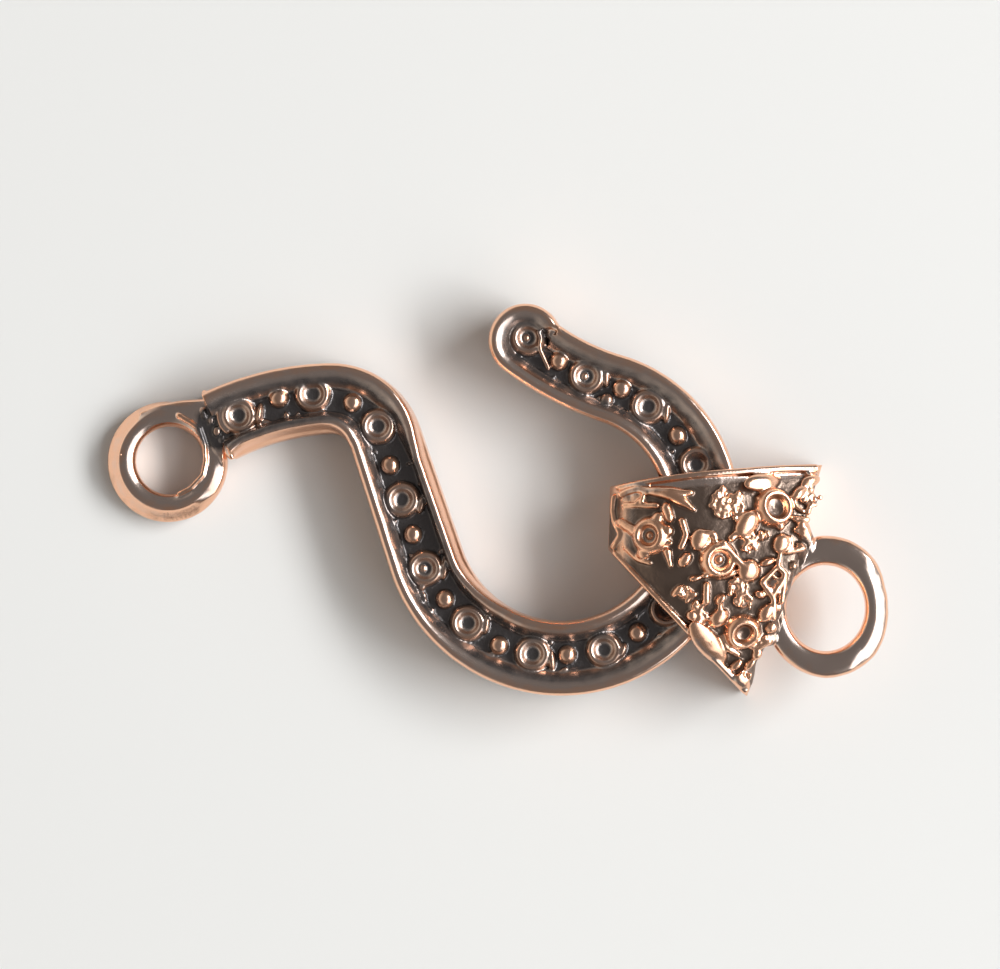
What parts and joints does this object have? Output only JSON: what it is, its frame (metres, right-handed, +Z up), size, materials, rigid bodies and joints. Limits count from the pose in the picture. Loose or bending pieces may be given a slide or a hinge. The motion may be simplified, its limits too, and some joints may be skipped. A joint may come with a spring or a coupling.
{
  "type": "hook and eye clasp",
  "caption": "S-shaped channelled hook with a ring at its end, fastened through a wrapped shield-shaped eye with its own ring, cast with raised rings and beads.",
  "frame": {"origin": "on the table under the middle of the fastened clasp's box", "axes": "+X from the hook's end ring to the eye's ring, +Y across towards the hook's tip, +Z up from the table"},
  "size_m": [0.039, 0.0196, 0.0053],
  "materials": {
    "hook_copper": "cast copper tone, dark patina in the hollows, polished crests",
    "eye_copper": "cast copper tone, dark patina in the hollows, polished crests"
  },
  "bodies": {
    "hook": {"hook": "hook_copper"},
    "eye": {"eye": "eye_copper"}
  },
  "joints": [
    {"name": "eye_swing", "type": "hinge", "parent": "hook", "child": "eye", "pos_m": [0.00307, -0.0008, 0.00194], "axis": [0, 0, 1], "range_deg": [-20, 20]}
  ]
}
